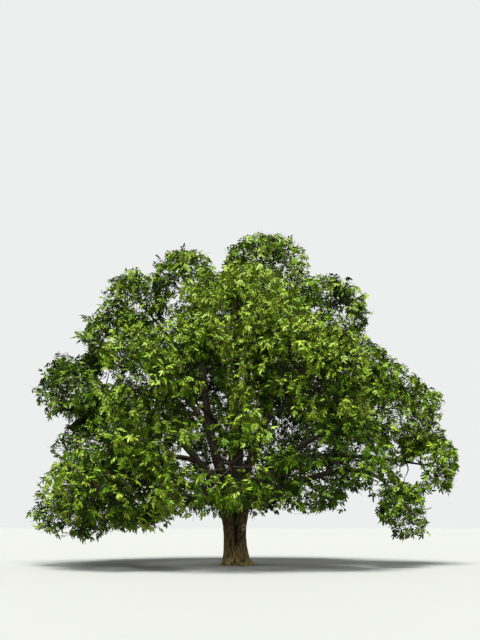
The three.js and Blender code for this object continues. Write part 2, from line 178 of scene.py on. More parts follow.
SHOOT = {
    "sides": 3, "steps": 3, "root": 0.007, "tip": 0.004,
    "count": [4, 6], "from": 0.45, "spread": [0.8, 1.5], "end_spread": 0.25, "lift": 0.25, "lead": 0.3,
    "length": [0.3, 0.62], "cut": [1, 0.7, 0.45], "under": 0.22,  # how far under the crown's outside it ends
}
LEAVES = {
    "count": [3, 5], "apart": 0.09, "uneven": 0.05, "crowded": 0.7,
    "opening": [38, 72], "wider": 4,  # degrees from the shoot, and more for each one further back
    "droop": [0, 0.45], "roll": 0.5, "size": [0.82, 1.15],
    "sag": 0.3, "tip": 0.95, "over_plane": 0.15,  # where its tip is, and how far that may cross a plane
}
# Headings that none of these has, to find others square to theirs.
ASIDE = {"branchlet": UP + 0.01, "shoot": np.array([0.3, 0.2, 1.0]), "leaf": UP + 0.02}
PATCH_AREA = 0.97  # square metres of a mass's outside for each branchlet that reaches it
# Masses with more branchlets. None of these dies in the shade, and their insides get no painted shade.
THICKER = {
    "right_droop": 1.5, "right_far": 1.3, "right_upper": 1.15, "left_far": 1.3, "trunk_shoots": 1.4,
    "upper_front": 1.05,
}
SHADE_LOSS = 0.15  # the share of the branchlets that dies where a mass faces another
INNER_SHARE = 0.35  # branchlets inside a mass, for each one that reaches its outside
CELL_MARGIN = 0.05  # air kept between a mass and the plane it shares with the next
LIMB_AIR = 0.06  # air kept between the foliage and the limbs
SEED = 4151

# Where the front view shows sky through the crown, as ovals upright over the trunk: x, z, half width, half
# height, and the share of the sprays that still grow there.
OPEN_PLACES = [
    # the gaps round the hanging bough at the right end
    [6.8, 3.55, 0.46, 0.4, 0],
    [4.72, 2.15, 0.42, 0.75, 0],
    [7.85, 1.75, 0.4, 0.7, 0],
    [7.55, 2.45, 0.28, 0.4, 0],
    [5.55, 1.15, 0.45, 0.45, 0],
    # the bays between the heads
    [-0.85, 12.5, 0.3, 1.15, 0],
    [-3.78, 12.3, 0.3, 0.65, 0],
    [3.4, 12.7, 0.35, 0.9, 0],
    [-0.4, 13.3, 0.4, 0.5, 0],
    # the steps of the right shoulder
    [5.4, 11.2, 0.35, 0.4, 0],
    [5.55, 9.05, 0.3, 0.25, 0],
    [6.75, 8.1, 0.35, 0.25, 0],
    [8.45, 5.15, 0.3, 0.35, 0],
    # the left edge: over the far end, and between it and the skirt
    [-6.45, 8.4, 0.4, 0.28, 0],
    [-8.3, 7.5, 0.4, 0.35, 0],
    [-7.92, 4.9, 0.36, 1.0, 0],
    [-8.35, 2.65, 0.5, 0.7, 0],
    # thin places
    [-2.55, 10.4, 0.7, 0.6, 0.7],
    [-2.47, 10.42, 0.25, 0.32, 0.15],
    [-1.75, 12.35, 0.3, 0.25, 0.3],
    [-3.5, 10.95, 0.35, 0.2, 0.4],
    [-3.5, 9.68, 0.4, 0.18, 0.05],
    [-4.5, 9.45, 0.3, 0.2, 0.05],
    [-5.0, 8.95, 0.22, 0.15, 0.3],
    [-5.15, 7.4, 0.28, 0.32, 0],
    [-6.98, 5.3, 0.3, 0.35, 0.15],
    [-6.6, 4.25, 0.4, 0.25, 0.3],
    [-5.9, 4.85, 0.5, 0.2, 0.4],
    [4.1, 9.95, 0.2, 0.2, 0.2],
    [-7.3, 3.3, 0.6, 0.6, 0.75],
    # the small windows round the fork, where the limbs show
    [-1.94, 6.06, 0.3, 0.3, 0.4],
    [-1.3, 5.4, 0.3, 0.8, 0.75],
    [-1.9, 3.05, 0.6, 0.22, 0.5],
    [1.9, 5.1, 0.6, 0.35, 0.8],
    [-2.27, 4.28, 0.32, 0.25, 0.7],
    [-0.89, 5.07, 0.25, 0.4, 0.6],
    [-0.37, 3.97, 0.18, 0.45, 0.35],
    [0.57, 3.73, 0.5, 0.25, 0.5],
    [1.02, 5.66, 0.55, 0.35, 0.7],
    [3.05, 4.63, 0.75, 0.5, 0.5],
    [-1.07, 2.12, 0.4, 0.4, 0.4],
    [-0.2, 4.6, 2.0, 1.4, 0.88],
    [3.0, 3.1, 1.7, 0.9, 0.8],
]
# Where the front view looks in on the limbs: ovals in which the foliage nearer than the limbs is thin.
LIMB_WINDOWS = [
    [-1.15, 5.6, 0.5, 1.9, 0.2],  # the left leader
    [-2.15, 4.2, 1.05, 0.42, 0.35],  # the limbs that arch away from it
    [-2.06, 3.04, 0.95, 0.3, 0.3],
    [-0.3, 3.8, 0.55, 0.6, 0.25],  # the fork
    [1.7, 5.75, 0.8, 0.5, 0.4],  # the limbs that rise to the right
    [2.45, 4.8, 1.2, 0.5, 0.3],
    [2.2, 3.3, 1.2, 0.3, 0.4],
]
RAGGED = {"width": 0.3, "depth": 0.7}  # how uneven the edges of these ovals are
SURE = 0.001  # the share below which nothing at all grows in one
# How low the leaves of the masses that hang lowest come.
LOWEST = {
    "left_bottom": 0.85, "right_droop": 0.72, "skirt_front_left": 1.15, "skirt_back_left": 1.3,
    "right_upper": 3.8, "right_far": 2.1, "skirt_front_right": 1.4,
}
LEAF_GAP = 0.12  # and how far those of the others keep over the foot of their mass
HEM = {"rise": 0.75, "width": 0.8, "bias": 0.2}  # how unevenly the crown ends over the ground
TWIG_LIFT = 0.15  # how far the shoots keep over it, for their leaves to hang
TOP_LEAVES = 0.1  # how far the highest leaves stand over the solids
FRINGE = [0.8, 0.955]  # how far out the leaves of a branchlet may reach, as a share of the way to the edge
LUMPS = {"width": 1.0, "depth": 0.2, "rise": 1.4, "bias": 0.15}  # the clumps that a mass's outside has
# Masses whose outside is pushed out or in by a factor.
PUSHED = {
    "right_upper": 1.07, "right_droop": 1.1, "right_top": 1.03, "right_shoulder": 0.97,
    "skirt_front_right": 1.06, "head_right": 0.98, "head_left": 0.98, "left_shoulder": 0.96,
}
BRIDGE = 0.22  # how wide a bay between two masses the crown bridges, as a share of their size
LIMB_FRONT = -0.7  # the y that the limbs in view lie behind
VIEWER = np.array([0.1, -35.4, 1.5])
VIEW_RISE = 13  # degrees that the view is tipped up
SIGHT = 2000  # metres that the camera sees
FLOOR = {"half_size": 400, "drop": 0.002, "colour": "#70716d"}
LIGHT = {"room": 1.02, "colour": "#ebedec", "sun": 14.2, "softness": 30, "heading": (0.04, 0.45, -1.0)}


def unit(vectors):
    """The same directions, with a length of one."""
    return vectors / np.maximum(np.linalg.norm(vectors, axis=-1, keepdims=True), 1e-9)


def heading(azimuth, rise=0.0):
    turn, lift = math.radians(azimuth), math.radians(rise)
    return np.array([math.cos(lift) * math.cos(turn), math.cos(lift) * math.sin(turn), math.sin(lift)])


def even_directions(count):
    """Evenly spread directions, as the seeds of a sunflower lie."""
    index = np.arange(count)
    z = 1 - (2 * index + 1) / count
    flat = np.sqrt(1 - z * z)
    return np.stack([flat * np.cos(GOLDEN * index), flat * np.sin(GOLDEN * index), z], axis=1)


def bell(distance, width):
    """1 at no distance, and less and less within a width or two."""
    return np.exp(-((distance / width) ** 2))


def bezier(points, shares):
    """Places on Bezier curves. points is (curves, 3 or 4, xyz), and the result (curves, shares, xyz)."""
    order = points.shape[1] - 1
    shares = np.asarray(shares)[:, None]
    powers = np.arange(order + 1)
    choose = np.array([math.comb(order, k) for k in powers])
    weights = choose * shares**powers * (1 - shares) ** (order - powers)
    return np.einsum("nk,mkd->mnd", weights, points)


def read_off(wanted, run, values):
    """Each axis of some values, read off at the wanted places of their run."""
    return np.stack([np.interp(wanted, run, values[:, axis]) for axis in range(3)], axis=-1)


def even_line(points, count):
    """One Bezier curve as places at even distances along it."""
    fine = bezier(points[None], np.linspace(0, 1, FINE_STEPS))[0]
    run = np.concatenate([[0], np.cumsum(np.linalg.norm(np.diff(fine, axis=0), axis=1))])
    return read_off(np.linspace(0, run[-1], count), run, fine)


def at_share(line, share):
    """The place and the direction at a share of a line's length."""
    step = min(int(share * (len(line) - 1)), len(line) - 2)
    return read_off(share, np.linspace(0, 1, len(line)), line), unit(line[step + 1] - line[step])


def turn_from(middle, azimuth):
    """The turn from one azimuth to another, between -180 and 180 degrees."""
    return (azimuth - middle + 540) % 360 - 180


# The spaces of the masses: middle, half sizes and own axes, out from the trunk, across, and up.
NAMES = [row[0] for row in MASSES]
TINTS = [row[8] for row in MASSES]
OUT = np.array([heading(row[1]) for row in MASSES])
ACROSS = np.cross(UP, OUT)
HALF = np.array([[row[3] / 2, row[4] / 2, (row[6] - row[5]) / 2] for row in MASSES]) * MM
CENTRE = OUT * np.array([[row[2] - row[3] / 2] for row in MASSES]) * MM
CENTRE[:, 2] = [(row[5] + row[6]) / 2 * MM for row in MASSES]
RADIUS = HALF.mean(axis=1)
SLOPE = np.radians([row[7] for row in MASSES])


def to_edge(mass, aims):
    """From the mass's middle to its edge, along directions given in the mass's own axes."""
    reach = aims / np.linalg.norm(aims / HALF[mass], axis=-1, keepdims=True)
    return reach[..., :1] * OUT[mass] + reach[..., 1:2] * ACROSS[mass] + reach[..., 2:] * UP


def edge_share(mass, places):
    """How far towards the mass's edge each place lies: 1 on the edge."""
    offset = places - CENTRE[mass]
    local = np.stack([offset @ OUT[mass], offset @ ACROSS[mass], offset[..., 2]], axis=-1)
    return np.linalg.norm(local / HALF[mass], axis=-1)


def crown_share(places):
    """How far towards the outside of the crown each place lies: 1 on it. Where masses meet, the crown bridges
    the bay between them."""
    shares = np.stack([edge_share(mass, places) for mass in range(len(NAMES))])
    return -np.log(np.exp(-shares / BRIDGE).sum(axis=0)) * BRIDGE


def lump_reach(mass, places):
    """How far out the mass comes in the direction of each place: 1 on a clump, less between two."""
    on_edge = CENTRE[mass] + (places - CENTRE[mass]) / edge_share(mass, places)[:, None]
    bays = np.array([noise.noise(Vector(place) / LUMPS["width"]) for place in on_edge])
    pushed = PUSHED.get(NAMES[mass], 1)
    return pushed * (1 - LUMPS["depth"] * np.clip(bays * LUMPS["rise"] + LUMPS["bias"], 0, 1))


def cell_room(mass, places):
    """How far each place lies from the planes that the mass shares with the others, on its own side."""
    power = ((places[..., None, :] - CENTRE) ** 2).sum(axis=-1) - RADIUS**2
    others = [k for k in range(len(NAMES)) if k != mass]
    apart = np.linalg.norm(CENTRE[others] - CENTRE[mass], axis=1)
    return ((power[..., others] - power[..., mass : mass + 1]) / (2 * apart)).min(axis=-1)


def kept_open(places, random=None):
    """Whether each place is left bare because the viewer sees sky or a limb there. With no random draws that
    holds only where nothing at all grows."""
    offset = places - VIEWER
    scale = -VIEWER[1] / offset[..., 1]
    x = VIEWER[0] + offset[..., 0] * scale
    z = VIEWER[2] + offset[..., 2] * scale
    flat = np.stack([x.ravel(), z.ravel(), 0 * x.ravel()], axis=1) / RAGGED["width"]
    edge = 1 + RAGGED["depth"] * np.array([noise.noise(Vector(place)) for place in flat]).reshape(x.shape)

    def bare_in(ovals):
        bare = np.zeros(x.shape, bool)
        for middle_x, middle_z, half_x, half_z, kept in ovals:
            inside = np.hypot((x - middle_x) / half_x, (z - middle_z) / half_z) < edge
            chance = random.random(x.shape) if random else SURE
            bare |= inside & (chance >= kept)
        return bare

    return bare_in(OPEN_PLACES) | (bare_in(LIMB_WINDOWS) & (places[..., 1] < LIMB_FRONT))


def foot_of(mass, places):
    """How low the leaves of a mass come at each place: an uneven hem."""
    low = LOWEST.get(NAMES[mass], CENTRE[mass, 2] - HALF[mass, 2] + LEAF_GAP)
    flat = [Vector((x, y, mass)) / HEM["width"] for x, y in places[:, :2]]
    ripple = np.array([noise.noise(place) for place in flat])
    return low + HEM["rise"] * np.clip(ripple + HEM["bias"], 0, 1)


def trunk_axis(height):
    lean = TRUNK["lean"]
    share = 1 - np.exp(-height / (lean["within"] * MM))
    return np.stack([lean["x"] * MM * share, lean["y"] * MM * share, height + 0 * share], axis=-1)


def cleft_share(azimuth, height, half_width):
    """1 in the middle of the cleft between the two stems that the trunk grew together from, 0 beside it."""
    cleft = TRUNK["cleft"]
    across = turn_from(cleft["azimuth"], azimuth)
    foot = np.clip((height - cleft["from"] * MM) / (cleft["ends"][0] * MM), 0, 1)
    head = np.clip((cleft["to"] * MM - height) / (cleft["ends"][1] * MM), 0, 1)
    return foot * head * bell(across, half_width)


def trunk_shape(azimuth, height):
    """How much further out than its ring the trunk stands at an azimuth, as a factor."""
    roots, cleft = TRUNK["roots"], TRUNK["cleft"]
    root = np.cos(np.radians((azimuth - roots["turn"]) * roots["count"]))
    sunk = cleft["depth"] * cleft_share(azimuth, height, cleft["half_width"])
    return 1 + roots["swell"] * root * np.exp(-height / (roots["fade_height"] * MM)) - sunk


def entry_of(mass):
    """Where the mass's bough ends and its stem begins, and the direction of both there."""
    along = np.array([math.cos(SLOPE[mass]), 0.0, math.sin(SLOPE[mass])])
    direction = OUT[mass] * along[0] + UP * along[2]
    if NAMES[mass] == "trunk_shoots":
        height = CENTRE[mass, 2] - math.tan(SLOPE[mass]) * np.linalg.norm(CENTRE[mass, :2])
        return trunk_axis(height), direction
    return CENTRE[mass] - ENTRY * to_edge(mass, along), direction


def bough_line(start, lead, mass):
    point, direction = entry_of(mass)
    length = np.linalg.norm(point - start)
    leaving = start + lead * length * BOUGH["lead"]
    arriving = point - direction * length * BOUGH["follow"]
    return even_line(np.array([start, leaving, arriving, point]), LINE_STEPS)


def bough_radius(girth, shares):
    collar = 1 + BOUGH["collar"] * np.maximum(0, 1 - shares / BOUGH["collar_reach"])
    tip = BOUGH["tip_radius"]
    return (tip + (girth - tip) * (1 - shares) ** BOUGH["taper"]) * MM * collar


def all_boughs():
    """Each bough's line and its radius along it, by the name of the mass that it ends in."""
    lines = {}
    shares = np.linspace(0, 1, LINE_STEPS)
    for name, height, azimuth, rise, girth in BOUGHS:
        line = bough_line(trunk_axis(height * MM), heading(azimuth, rise), NAMES.index(name))
        lines[name] = (line, bough_radius(girth, shares))
    for name, parent, share, girth in SIDE_BOUGHS:
        start, along = at_share(lines[parent][0], share)
        away = unit(entry_of(NAMES.index(name))[0] - start)
        lead = unit(along * BOUGH["parent_pull"] + away)
        line = bough_line(start, lead, NAMES.index(name))
        lines[name] = (line, bough_radius(girth, shares))
    return lines


BOUGH_LINES = all_boughs()
LIMB_PLACES = np.concatenate([line for line, _ in BOUGH_LINES.values()])
LIMB_RADII = np.concatenate([radius for _, radius in BOUGH_LINES.values()])
RING_HEIGHTS, RING_RADII = np.array(TRUNK["rings"]).T * MM
AT_A_TIME = 4000  # places, to spare memory


def clear_of_limbs(places):
    """Whether each place keeps off the trunk and the boughs, worked out for some places at a time."""
    clear = np.ones(len(places), bool)
    for start in range(0, len(places), AT_A_TIME):
        some = places[start : start + AT_A_TIME]
        apart = np.linalg.norm(some[:, None] - LIMB_PLACES, axis=-1) - LIMB_RADII
        axis = trunk_axis(some[:, 2])
        from_axis = np.linalg.norm((some - axis)[:, :2], axis=1)
        trunk = np.interp(some[:, 2], RING_HEIGHTS, RING_RADII, right=0.0)
        clear[start : start + AT_A_TIME] = (apart.min(axis=1) > LIMB_AIR) & (from_axis > trunk + LIMB_AIR)
    return clear


def swept(lines, form):
    """Closed, tapering tubes along lines of as many steps: their corners, walls and end caps."""
    tubes, steps, sides = *lines.shape[:2], form["sides"]
    radii = np.linspace(form["root"], form["tip"], steps)
    along = unit(np.gradient(lines, axis=1))
    spine = unit(lines[:, -1] - lines[:, 0])
    aside = np.eye(3)[np.argmin(np.abs(spine), axis=1)]
    side = unit(np.cross(along, aside[:, None]))
    other = np.cross(along, side)
    turn = np.arange(sides)[:, None] * 2 * math.pi / sides
    ring = np.cos(turn) * side[:, :, None] + np.sin(turn) * other[:, :, None]
    corners = lines[:, :, None] + radii[:, None, None] * ring
    index = np.arange(tubes * steps * sides).reshape(tubes, steps, sides)
    near, far = index[:, :-1], index[:, 1:]
    walls = np.stack([near, np.roll(near, -1, 2), np.roll(far, -1, 2), far], axis=-1).reshape(-1, 4)
    caps = np.concatenate([index[:, 0, ::-1], index[:, -1]])
    return corners.reshape(-1, 3), [walls, caps]


class Joined:
    """Many small shapes gathered into one mesh."""

    def __init__(self):
        self.corners = []
        self.faces = []
        self.finishes = []
        self.count = 0

    def add(self, corners, faces, finish=None):
        for face in faces:
            self.faces.append(face + self.count)
            self.finishes.append(np.zeros(len(face), int) if finish is None else finish)
        self.corners.append(corners)
        self.count += len(corners)

    def mesh(self, name, materials):
        mesh = bpy.data.meshes.new(name)
        faces = [face for some in self.faces for face in some.tolist()]
        mesh.from_pydata(np.concatenate(self.corners).tolist(), [], faces, shade_flat=False)
        mesh.polygons.foreach_set("material_index", np.concatenate(self.finishes).astype(np.int32))
        for material in materials:
            mesh.materials.append(material)
        mesh.validate()
        return mesh


def in_scene(name, data):
    """A new object in the scene, of a mesh, a light or a camera."""
    made = bpy.data.objects.new(name, data)
    bpy.context.scene.collection.objects.link(made)
    return made


def place_piece(name, mesh, replaced):
    piece = in_scene(name, mesh)
    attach(piece, "root")
    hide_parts(*replaced)


def linear(colour):
    """An sRGB hex value as linear red, green, blue and alpha."""
    channels = [int(colour[i : i + 2], 16) / 255 for i in (1, 3, 5)]
    return [c / 12.92 if c <= 0.04045 else ((c + 0.055) / 1.055) ** 2.4 for c in channels] + [1.0]


def node(tree, kind, settings=None, links=None):
    """A node of a kind, with its settings, and each of its inputs linked or set."""
    made = tree.nodes.new(kind)
    for key, value in (settings or {}).items():
        setattr(made, key, value)
    for key, value in (links or {}).items():
        if isinstance(value, bpy.types.NodeSocket):
            tree.links.new(value, made.inputs[key])
        else:
            made.inputs[key].default_value = value
    return made


def new_material(name, finish):
    """A material whose shader has the plain values of a finish, with its nodes and its shader."""
    material = bpy.data.materials.new(name)
    material.use_nodes = True
    shader = material.node_tree.nodes["Principled BSDF"]
    for key, value in finish.items():
        shader.inputs[key].default_value = value
    return material, material.node_tree, shader


# Walnut leaf: a thin, leathery blade with a soft sheen, in one plain green of these. A pattern on it would be
# too fine to show, and what the eye sees is the mixture.
GREENS = {
    "lime": "#6d7d1e", "light": "#63761a", "fresh": "#5a7013", "mid": "#536b0d", "olive": "#5e6e12",
    "deep": "#374f08", "dark": "#182704",
}
GLOSS = {"deep": 0.05, "dark": 0.05}  # of the greens of the shade
LIT_GLOSS = 0.22  # of the others
SHADE_DEPTH = 0.7  # branchlets that end further in than this share of the way out are dealt the deeper greens of painted shade
SHARED_GREEN = [0.15, 0.35, 0.5]  # chances that a leaf has the green of its branchlet, its shoot, or its own
# How often each green comes, in the order of the greens: in the masses of three of the tints, in those that
# are dealt other greens as painted light and shade, and in the painted shade inside.
DEALT = {
    "light": [2, 4, 5, 3, 0, 1, 1],
    "mid": [0, 3, 5, 4, 0, 2, 1],
    "deep": [0, 2, 4, 4, 0, 3, 2],
    "low": [0, 1, 3, 4, 0, 4, 3],
    "hanging_in_painted_shade": [0, 0, 1, 2, 0, 5, 5],
    "bright_painted_light": [1, 4, 5, 3, 0, 1, 0],
    "dusky_olive_in_painted_shade": [0, 1, 0, 5, 5, 3, 2],
    "shade": [0, 0, 0, 0, 0, 4, 5],
}
# The masses that are dealt other greens than those of their tint: deeper greens as painted shade, low on the
# right, round the back, at the left end and under the middle, and brighter greens as painted light on top of
# the front and at the left foot.
DEALT_FOR_PAINTED_LIGHT_AND_SHADE = {
    "skirt_front_right": "hanging_in_painted_shade", "skirt_back_right": "low", "skirt_back": "low", "left_low": "hanging_in_painted_shade",
    "left_far": "hanging_in_painted_shade", "right_far": "low", "right_upper": "low", "right_droop": "hanging_in_painted_shade",
    "skirt_front": "mid", "upper_front": "bright_painted_light", "left_bottom": "bright_painted_light", "head_right": "mid",
    "skirt_front_left": "dusky_olive_in_painted_shade",
}


def leaf_material(name, colour):
    """A leaf's thin blade, with a soft sheen that is fainter in the shade."""
    return new_material(f"walnut_leaf_{name}", {
        "Base Color": linear(colour), "Roughness": 0.45, "IOR": 1.42,
        "Specular IOR Level": GLOSS.get(name, LIT_GLOSS),
    })[0]


# Sizes of the grain and the patches of bark and of the specks on twigs, in millimetres. The specks are drawn
# coarser than they are, to show.
GRAIN, PATCHES, SPECKS = 35, 500, 60
# The bark's colours, and how far those of the foot and the fork come through: not at all at the first height
# in metres, and by the share that comes third at the second. The foot's pale colour is dust and painted light
# against the crown's shade, the fork's dark one painted shade, and the fissures' nearly black one partly
# painted shade.
TRUNK_BARK = {"fissure": "#140e06", "ridges": ["#584828", "#766339"], "foot": "#a08e5a", "fork": "#3f331f"}
# The limbs' bark is darker than the trunk's: painted shade, for the crown's shade over them.
LIMB_BARK_IN_PAINTED_SHADE = {"fissure": "#120e0a", "ridges": ["#2c251c", "#3d3429"], "foot": "#3d3429", "fork": "#332b20"}
# The twigs' bark is darker than their own grey-brown: painted shade.
TWIG_BARK_AND_PAINTED_SHADE = ["#16110c", "#302820"]
# The callus's pale colour: its smooth skin, and partly a painted highlight on its lip.
CALLUS_AND_PAINTED_HIGHLIGHT = "#c79f83"
FOOT_DUST_AND_LIGHT_FADE, FORK_SHADE_FADE = [0.9, 0.0, 0.8], [0.7, 2.3, 0.9]


def bark_material(name, colours):
    """Old walnut bark: grey-brown ridges, dry and matt, with nearly black fissures between them, partly
    painted shade in the recesses. It is paler at the foot, where rain and dust reach it and painted light
    lifts the crown's shade, as dark as the limbs under the fork, which is painted shade, and smooth and pale
    on the callus round a knot, partly a painted highlight on its lip."""
    material, tree, shader = new_material(name, {"Roughness": 0.9, "Specular IOR Level": 0.25})
    place = node(tree, "ShaderNodeTexCoord")
    height = node(tree, "ShaderNodeSeparateXYZ", {}, {0: place.outputs["Object"]})
    dust_and_painted_light_at_foot, painted_shade_near_fork = [
        node(tree, "ShaderNodeMapRange", {}, {
            "Value": height.outputs["Z"], "From Min": none_at, "From Max": most_at, "To Max": most,
        }) for none_at, most_at, most in (FOOT_DUST_AND_LIGHT_FADE, FORK_SHADE_FADE)
    ]
    relief = node(tree, "ShaderNodeAttribute", {"attribute_name": "relief"})
    grain = node(tree, "ShaderNodeTexNoise", {}, {
        "Vector": place.outputs["Object"], "Scale": 1 / (GRAIN * MM), "Detail": 4.0, "Roughness": 0.6,
    })
    patch = node(tree, "ShaderNodeTexNoise", {}, {
        "Vector": place.outputs["Object"], "Scale": 1 / (PATCHES * MM), "Detail": 3.0,
    })
    callus_and_painted_highlight = node(tree, "ShaderNodeAttribute", {"attribute_name": "callus_and_painted_highlight"})
    mixed = node(tree, "ShaderNodeMix", {"data_type": "RGBA"}, {
        0: patch.outputs["Fac"], 6: linear(colours["ridges"][0]), 7: linear(colours["ridges"][1]),
    })
    # the fork's dark colour is painted shade, the foot's pale one dust and painted light, and the callus's
    # pale one partly a painted highlight
    for share, colour in (
        (painted_shade_near_fork.outputs["Result"], colours["fork"]), (dust_and_painted_light_at_foot.outputs["Result"], colours["foot"]),
        (callus_and_painted_highlight.outputs["Fac"], CALLUS_AND_PAINTED_HIGHLIGHT),
    ):
        mixed = node(tree, "ShaderNodeMix", {"data_type": "RGBA"}, {
            0: share, 6: mixed.outputs[2], 7: linear(colour),
        })
    # the fissures' nearly black colour where the relief is low: partly painted shade in the recesses
    mixed = node(tree, "ShaderNodeMix", {"data_type": "RGBA"}, {
        0: relief.outputs["Fac"], 6: linear(colours["fissure"]), 7: mixed.outputs[2],
    })
    bump = node(tree, "ShaderNodeBump", {}, {
        "Strength": 0.5, "Distance": 0.012, "Height": grain.outputs["Fac"],
    })
    tree.links.new(mixed.outputs[2], shader.inputs["Base Color"])
    tree.links.new(bump.outputs["Normal"], shader.inputs["Normal"])
    return material


def twig_material():
    """Young walnut bark: smooth and grey-brown, with pale specks, and darkened as painted shade."""
    material, tree, shader = new_material("walnut_twig_bark", {"Roughness": 0.9, "Specular IOR Level": 0.1})
    place = node(tree, "ShaderNodeTexCoord")
    specks = node(tree, "ShaderNodeTexNoise", {}, {
        "Vector": place.outputs["Object"], "Scale": 1 / (SPECKS * MM), "Detail": 3.0,
    })
    mixed = node(tree, "ShaderNodeMix", {"data_type": "RGBA"}, {
        0: specks.outputs["Fac"], 6: linear(TWIG_BARK_AND_PAINTED_SHADE[0]), 7: linear(TWIG_BARK_AND_PAINTED_SHADE[1]),
    })
    tree.links.new(mixed.outputs[2], shader.inputs["Base Color"])
    return material


TRUNK_SIDES, TRUNK_STEPS = 210, 150
BOUGH_SIDES, BOUGH_STEP = 18, 0.09
TRUNK_RELIEF = {"width": 0.075, "length": 0.3, "depth": 0.034}
BOUGH_RELIEF = {"width": 0.07, "length": 0.4, "depth": 0.14, "level": 0.6}  # the level that stays in place
FISSURES = {"narrowness": 0.17, "fine": 0.35, "finer": 2.3, "shift": 7.0}  # a finer net bends the first one
# The cleft's seam is sunk and painted dark: painted shade in the crease.
CLEFT_SEAM = {"half_width": 4.0, "widening": 6.0, "depth": 0.07}  # degrees, more per metre up, and metres
RINGS_EVENED = [400, 41]  # places up the trunk, and how many of them a corner at a ring is spread over


def fissures(places, width, length):
    """0 in a fissure of the bark and 1 on a ridge. Fissures run along the third axis and meet in places."""
    relief = np.empty(len(places))
    stretch = np.array([1 / width, 1 / width, 1 / length])
    for k, place in enumerate(places * stretch):
        fine = noise.noise(Vector(place * FISSURES["finer"] + FISSURES["shift"]))
        value = noise.noise(Vector(place)) + FISSURES["fine"] * fine
        relief[k] = 1 - math.exp(-((value / FISSURES["narrowness"]) ** 2))
    return relief


def limb_shell(sides, steps):
    """A closed cylinder of radius one, from 0 to 1 in height, with its walls divided evenly."""
    shell = bmesh.new()
    bmesh.ops.create_cone(
        shell, cap_ends=True, cap_tris=False, segments=sides, radius1=1, radius2=1, depth=1,
    )
    bmesh.ops.translate(shell, verts=shell.verts, vec=(0, 0, 0.5))
    walls = [edge for edge in shell.edges if abs(edge.verts[0].co.z - edge.verts[1].co.z) > 0.5]
    bmesh.ops.subdivide_edges(shell, edges=walls, cuts=steps - 1, use_grid_fill=True)
    return shell


def limb_mesh(name, sides, steps, place_at, material):
    """A limb of bark: a shell whose corners are placed by their azimuth and their share of its height."""
    shell = limb_shell(sides, steps)
    mesh = bpy.data.meshes.new(name)
    shell.to_mesh(mesh)
    shell.free()
    corners = np.empty(len(mesh.vertices) * 3, np.float32)
    mesh.vertices.foreach_get("co", corners)
    corners = corners.reshape(-1, 3).astype(float)
    azimuth = np.arctan2(corners[:, 1], corners[:, 0])
    placed, relief, callus_and_painted_highlight = place_at(azimuth, corners[:, 2])
    mesh.vertices.foreach_set("co", placed.astype(np.float32).ravel())
    for attribute, values in (("relief", relief), ("callus_and_painted_highlight", callus_and_painted_highlight)):
        kept = mesh.attributes.new(attribute, "FLOAT", "POINT")
        kept.data.foreach_set("value", values.astype(np.float32))
    mesh.materials.append(material)
    mesh.shade_smooth()
    mesh.update()
    return mesh


def smooth_radius(height):
    """The trunk's radius between its rings, with no corner at a ring."""
    count, window = RINGS_EVENED
    fine = np.linspace(0, RING_HEIGHTS[-1], count)
    radii = np.interp(fine, RING_HEIGHTS, RING_RADII)
    kernel = np.hanning(window)
    padded = np.pad(radii, window // 2, mode="reflect", reflect_type="odd")
    return np.interp(height, fine, np.convolve(padded, kernel / kernel.sum(), mode="valid"))


def knot_relief(azimuth, height):
    """The callus ring that closed over a lost branch: how far it stands out, how far each place lies from its
    middle, and how far it has the callus's pale skin, which is partly a painted highlight on the lip."""
    knot = TRUNK["knot"]
    around = np.radians(turn_from(knot["azimuth"], azimuth)) * (knot["trunk_radius"] * MM)
    apart = np.hypot(around, height - knot["height"] * MM)
    from_ring = apart - knot["ring"] * MM
    ring = knot["stand"] * bell(from_ring, knot["lip"] * MM)
    callus_and_painted_highlight = bell(from_ring, knot["healed"] * knot["lip"] * MM)
    return (ring - knot["hollow"] * bell(apart, knot["lip"] * MM)) * MM, apart, callus_and_painted_highlight


def place_trunk(azimuth, share):
    """Places a shell's corners on the trunk, with their relief, which also sets where the fissures' colour
    paints shade, and how far each has the callus's skin, partly a painted highlight.
    """
    knot = TRUNK["knot"]
    height = share * RING_HEIGHTS[-1]
    degrees = np.degrees(azimuth) % 360
    radius = smooth_radius(height) * trunk_shape(degrees, height)
    outwards = np.stack([np.cos(azimuth), np.sin(azimuth), 0 * azimuth], axis=1)
    on_shell = outwards * radius[:, None] + UP * height[:, None]
    relief = fissures(on_shell, TRUNK_RELIEF["width"], TRUNK_RELIEF["length"])
    lip, apart, callus_and_painted_highlight = knot_relief(degrees, height)
    near_knot = bell(apart, knot["smooth_reach"] * MM)
    # the seam sinks the cleft and takes the fissures' dark colour, as painted shade
    seam_and_painted_shade = cleft_share(degrees, height, CLEFT_SEAM["half_width"] + CLEFT_SEAM["widening"] * height)
    deep = TRUNK_RELIEF["depth"] * (1 - relief) * (1 - near_knot) + CLEFT_SEAM["depth"] * seam_and_painted_shade
    placed = trunk_axis(height) + outwards * (radius - deep + lip)[:, None]
    # where the relief is low the bark takes the fissures' colour: painted shade in the fissures and the
    # knot's pit
    smoothed = np.maximum(relief, near_knot * knot["smoothness"])
    return placed, smoothed * (1 - seam_and_painted_shade) * (1 - bell(apart, knot["painted_shade_pit"] * MM)), callus_and_painted_highlight


